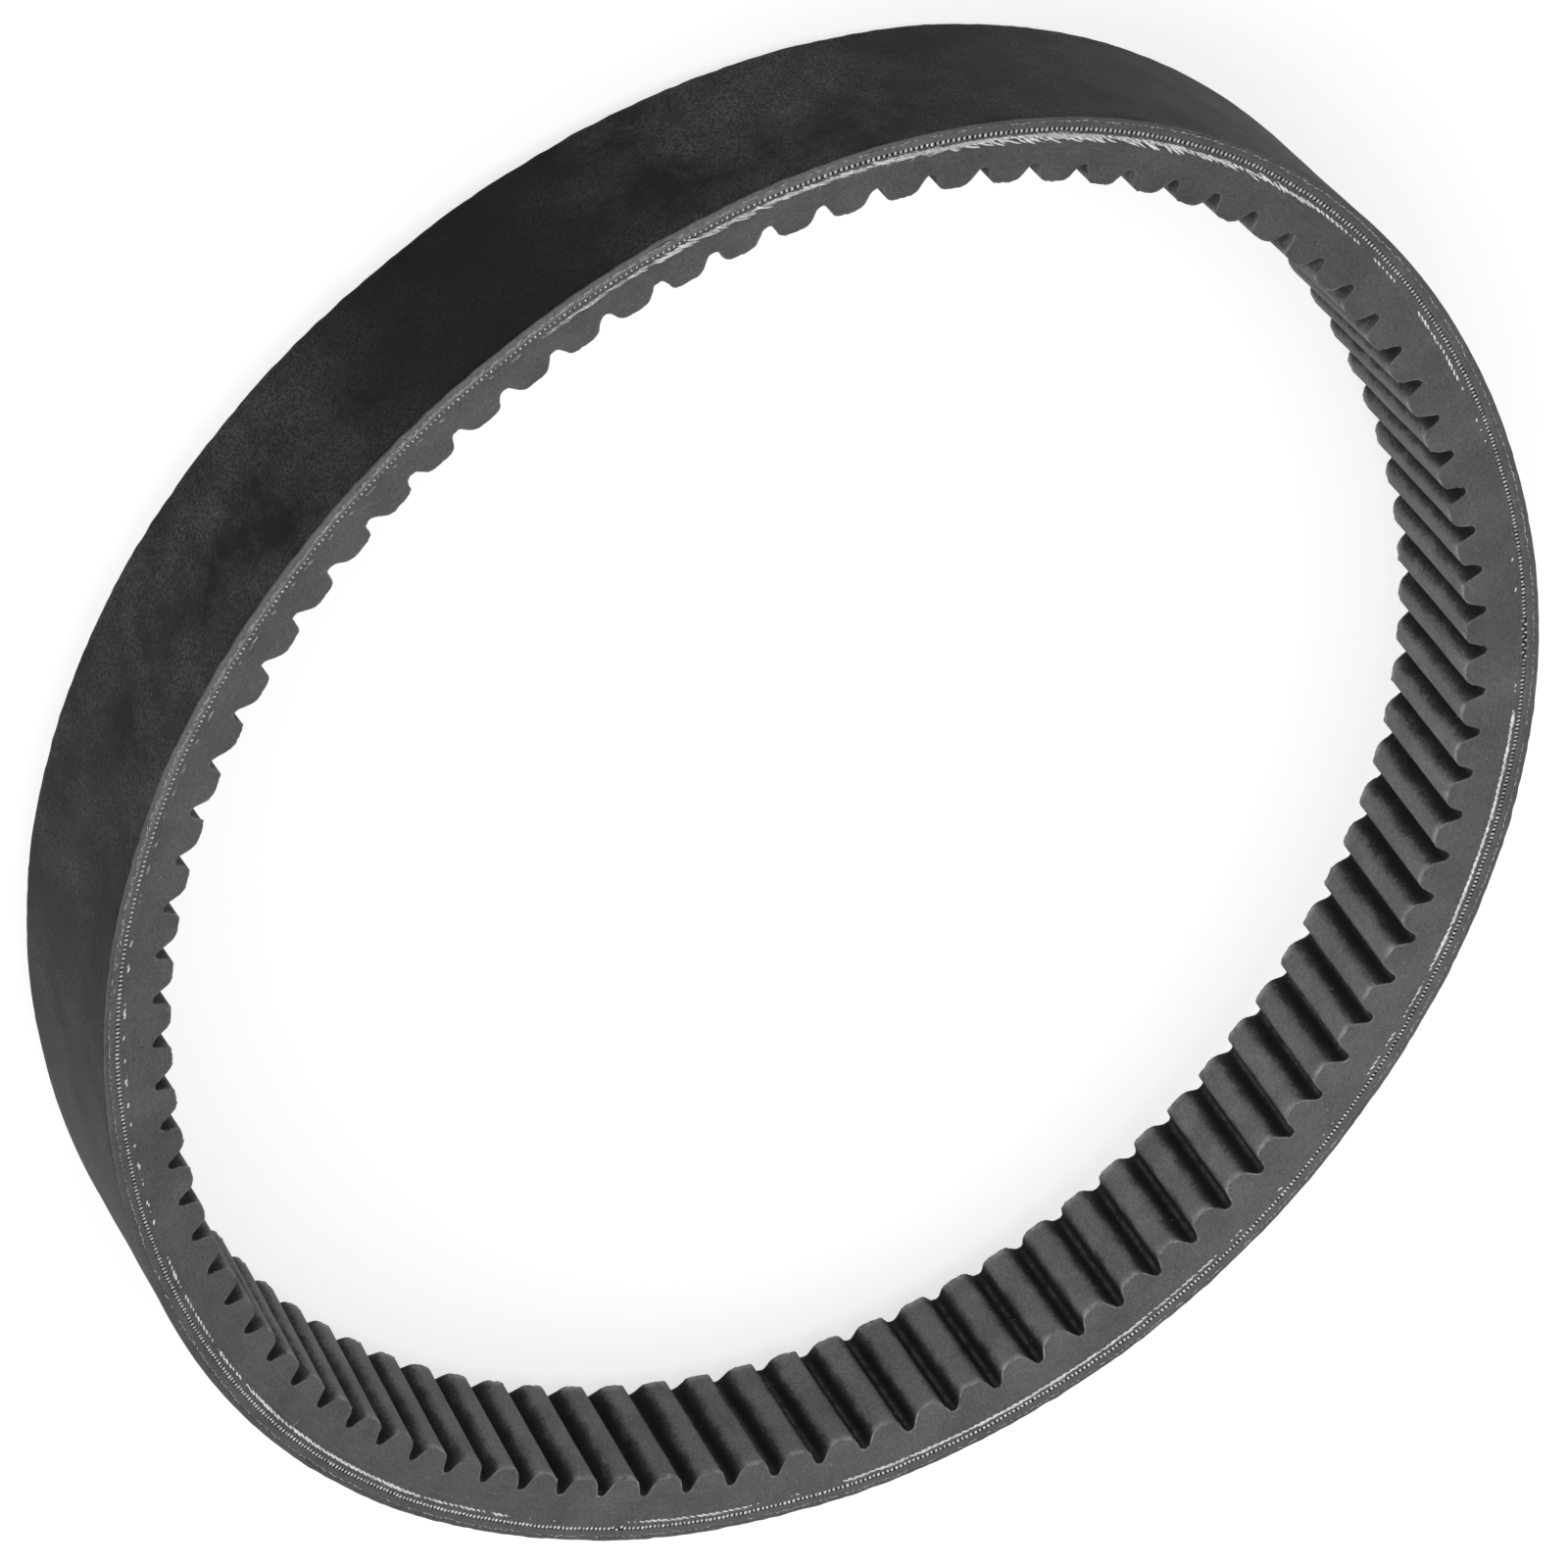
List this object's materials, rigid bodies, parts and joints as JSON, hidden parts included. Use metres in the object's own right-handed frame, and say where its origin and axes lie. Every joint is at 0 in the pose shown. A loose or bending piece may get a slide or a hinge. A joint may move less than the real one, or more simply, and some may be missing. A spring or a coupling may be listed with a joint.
{
  "type": "cogged variable-speed drive belt",
  "caption": "Endless raw-edge V-belt with moulded inner cogs, a wound tension cord and a cross-cord ply, lying relaxed on its side as a slightly oval loop.",
  "frame": {"origin": "centre of the belt's bounding box, on the belt's own axis inside the loop", "axes": "+Z along the belt's axis, the direction of the shafts it runs on, +X along the longer way of the relaxed oval"},
  "size_m": [0.341, 0.2948, 0.0394],
  "materials": {
    "back_rubber": "matte black calendered rubber with faint cloudy mottling",
    "ply_fabric": "rubberised woven ply, seen only as a fine light line on the raw edge",
    "edge_rubber": "cut and ground raw rubber edge, dark grey, matte",
    "cross_cord": "cut ends of dipped stiffening cords",
    "tension_cord": "off-white twisted polymer cord, frayed where the edge cuts it",
    "cog_rubber": "fibre-filled moulded rubber, dark grey, matte, darker in the notches"
  },
  "bodies": {
    "root": {"back_cover": "back_rubber", "fabric_ply": "ply_fabric", "overcord_rubber": "edge_rubber", "transverse_cords": "cross_cord", "upper_adhesion_rubber": "edge_rubber", "tension_cord": "tension_cord", "lower_adhesion_rubber": "edge_rubber", "cogged_compression_rubber": "cog_rubber"}
  },
  "joints": []
}
